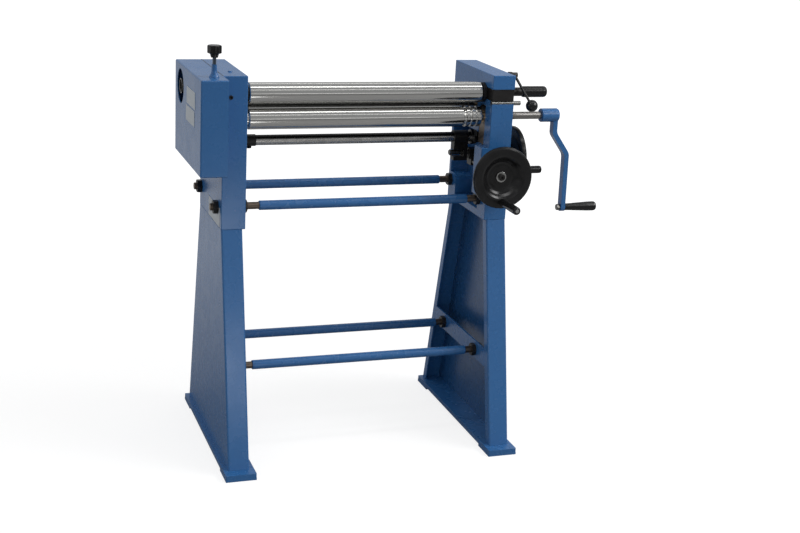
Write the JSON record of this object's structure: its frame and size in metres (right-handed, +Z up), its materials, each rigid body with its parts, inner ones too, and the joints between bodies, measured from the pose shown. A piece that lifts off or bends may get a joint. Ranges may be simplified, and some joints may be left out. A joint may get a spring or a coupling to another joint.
{
  "type": "slip roll machine",
  "caption": "Hand cranked slip roll on a steel stand, with geared forming rolls, a rear bending roll, adjusting handwheels and a swing-out top roll.",
  "frame": {"origin": "on the floor, under the centre of the whole machine's outline", "axes": "+X along the rolls from the gear cover to the crank, +Y to the back, +Z up"},
  "size_m": [1.2462, 0.628, 1.185],
  "materials": {
    "blue_paint": "smooth satin enamel",
    "bright_steel": "ground bright",
    "plain_steel": "turned, plain",
    "gear_steel": "cut, oiled",
    "black_plastic": "moulded, soft gloss",
    "black_steel": "blackened",
    "bronze": "machined bearing bronze",
    "label": "bare satin plate"
  },
  "bodies": {
    "stand": {"left_frame": "blue_paint", "right_frame": "blue_paint", "left_leg": "blue_paint", "right_leg": "blue_paint", "straps": "blue_paint", "base_plates": "blue_paint", "foot_pads": "blue_paint", "frame_bolts": "black_steel", "upper_tubes": "blue_paint", "lower_tubes": "blue_paint", "rod_studs": "plain_steel", "inner_nuts": "black_steel", "outer_nuts": "black_steel", "gear_cover": "blue_paint", "label_plates": "label", "window_sleeve": "bright_steel", "sleeve_bush": "bronze", "bush_set_screw": "black_steel", "oil_plug": "bright_steel", "slot_bar": "bright_steel", "lower_ball_seat": "bronze"},
    "swing_arm": {"swing_carrier": "black_steel", "pull_grip": "black_plastic"},
    "top_roll": {"upper_roll": "bright_steel", "upper_roll_collar": "black_steel", "drive_pin": "plain_steel"},
    "top_gear": {"upper_gear": "gear_steel"},
    "lower_bearing": {"lower_bearing_block": "black_steel", "lower_bearing_bush": "bronze", "lower_ball_bush": "gear_steel"},
    "crank": {"lower_roll": "bright_steel", "lower_gear": "gear_steel", "crank_arm": "blue_paint", "crank_pin": "plain_steel"},
    "crank_handle": {"crank_grip": "black_plastic"},
    "rear_bearings": {"rear_blocks": "black_steel", "rear_bushes": "bronze"},
    "back_roll": {"rear_roll": "bright_steel"},
    "lift_linkage": {"lift_shaft": "bright_steel", "shaft_collar": "black_steel", "lift_lever": "black_steel", "lift_arms": "black_steel"},
    "lift_nut": {"travel_nut": "black_steel", "travel_pin": "plain_steel"},
    "front_handwheel": {"front_wheel": "black_plastic", "front_wheel_bolt": "black_steel", "front_grip_bolt": "plain_steel", "front_screw": "plain_steel"},
    "front_handle": {"front_wheel_grip": "black_plastic"},
    "wedge_nut": {"lift_wedge": "plain_steel"},
    "side_handwheel": {"side_wheel": "black_plastic", "side_wheel_bolt": "black_steel", "side_grip_bolt": "plain_steel", "side_screw": "plain_steel"},
    "side_handle": {"side_wheel_grip": "black_plastic"},
    "release_lever": {"clamp_lever": "plain_steel", "clamp_ball": "black_plastic"},
    "cover_knob": {"star_knob": "black_plastic", "knob_spindle": "plain_steel"}
  },
  "joints": [
    {"name": "top_roll_swing", "type": "hinge", "parent": "stand", "child": "swing_arm", "pos_m": [-0.52035, -0.067, 1.0425], "axis": [0, 0, 1], "range_deg": [-12, 0]},
    {"name": "top_roll_turn", "type": "hinge", "parent": "swing_arm", "child": "top_roll", "pos_m": [-0.12485, -0.067, 1.0425], "axis": [1, 0, 0], "continuous": true},
    {"name": "top_gear_turn", "type": "hinge", "parent": "stand", "child": "top_gear", "pos_m": [-0.52485, -0.067, 1.0425], "axis": [1, 0, 0], "continuous": true},
    {"name": "lower_roll_tilt", "type": "hinge", "parent": "stand", "child": "lower_bearing", "pos_m": [-0.52035, -0.067, 0.9725], "axis": [0, -1, 0], "range_deg": [0, 0.2214]},
    {"name": "crank_turn", "type": "hinge", "parent": "lower_bearing", "child": "crank", "pos_m": [-0.12485, -0.067, 0.9725], "axis": [1, 0, 0], "continuous": true},
    {"name": "crank_handle_turn", "type": "hinge", "parent": "crank", "child": "crank_handle", "pos_m": [0.56515, -0.067, 0.69], "axis": [1, 0, 0], "continuous": true},
    {"name": "back_roll_lift", "type": "slide", "parent": "stand", "child": "rear_bearings", "axis": [0, 0, 1], "range_m": [-0.00801, 0.00801]},
    {"name": "back_roll_turn", "type": "hinge", "parent": "rear_bearings", "child": "back_roll", "pos_m": [-0.12485, -0.001, 0.99], "axis": [1, 0, 0], "continuous": true},
    {"name": "lift_linkage_turn", "type": "hinge", "parent": "stand", "child": "lift_linkage", "pos_m": [-0.12485, 0.033, 0.891], "axis": [-1, 0, 0], "range_deg": [-13.62, 13.62]},
    {"name": "lift_nut_slide", "type": "slide", "parent": "stand", "child": "lift_nut", "axis": [0, -1, 0], "range_m": [-0.01139, 0.01139]},
    {"name": "front_wheel_turn", "type": "hinge", "parent": "stand", "child": "front_handwheel", "pos_m": [0.25065, -0.147, 0.818], "axis": [0, 1, 0], "range_deg": [-1024, 1024]},
    {"name": "front_handle_turn", "type": "hinge", "parent": "front_handwheel", "child": "front_handle", "pos_m": [0.25186, -0.247, 0.74851], "axis": [0, 1, 0], "continuous": true},
    {"name": "wedge_slide", "type": "slide", "parent": "stand", "child": "wedge_nut", "axis": [1, 0, 0], "range_m": [0, 0.01201]},
    {"name": "side_wheel_turn", "type": "hinge", "parent": "stand", "child": "side_handwheel", "pos_m": [0.31515, -0.067, 0.85], "axis": [-1, 0, 0], "range_deg": [0, 1440]},
    {"name": "side_handle_turn", "type": "hinge", "parent": "side_handwheel", "child": "side_handle", "pos_m": [0.39515, -0.0214, 0.79755], "axis": [-1, 0, 0], "continuous": true},
    {"name": "release_lever_turn", "type": "hinge", "parent": "swing_arm", "child": "release_lever", "pos_m": [0.31515, -0.057, 1.09], "axis": [-1, 0, 0], "range_deg": [0, 90]},
    {"name": "cover_knob_turn", "type": "hinge", "parent": "stand", "child": "cover_knob", "pos_m": [-0.57735, -0.154, 1.12], "axis": [0, 0, 1], "continuous": true}
  ],
  "couplings": [
    {"joint": "top_roll_turn", "follows": "crank_turn", "ratio": -1},
    {"joint": "top_gear_turn", "follows": "crank_turn", "ratio": -1},
    {"joint": "lower_roll_tilt", "follows": "side_wheel_turn", "ratio": 0.00015343},
    {"joint": "wedge_slide", "follows": "side_wheel_turn", "m_per_rad": 0.00047746},
    {"joint": "back_roll_lift", "follows": "front_wheel_turn", "m_per_rad": 0.0004476},
    {"joint": "lift_linkage_turn", "follows": "front_wheel_turn", "ratio": 0.013289},
    {"joint": "lift_nut_slide", "follows": "front_wheel_turn", "m_per_rad": 0.00063662}
  ]
}
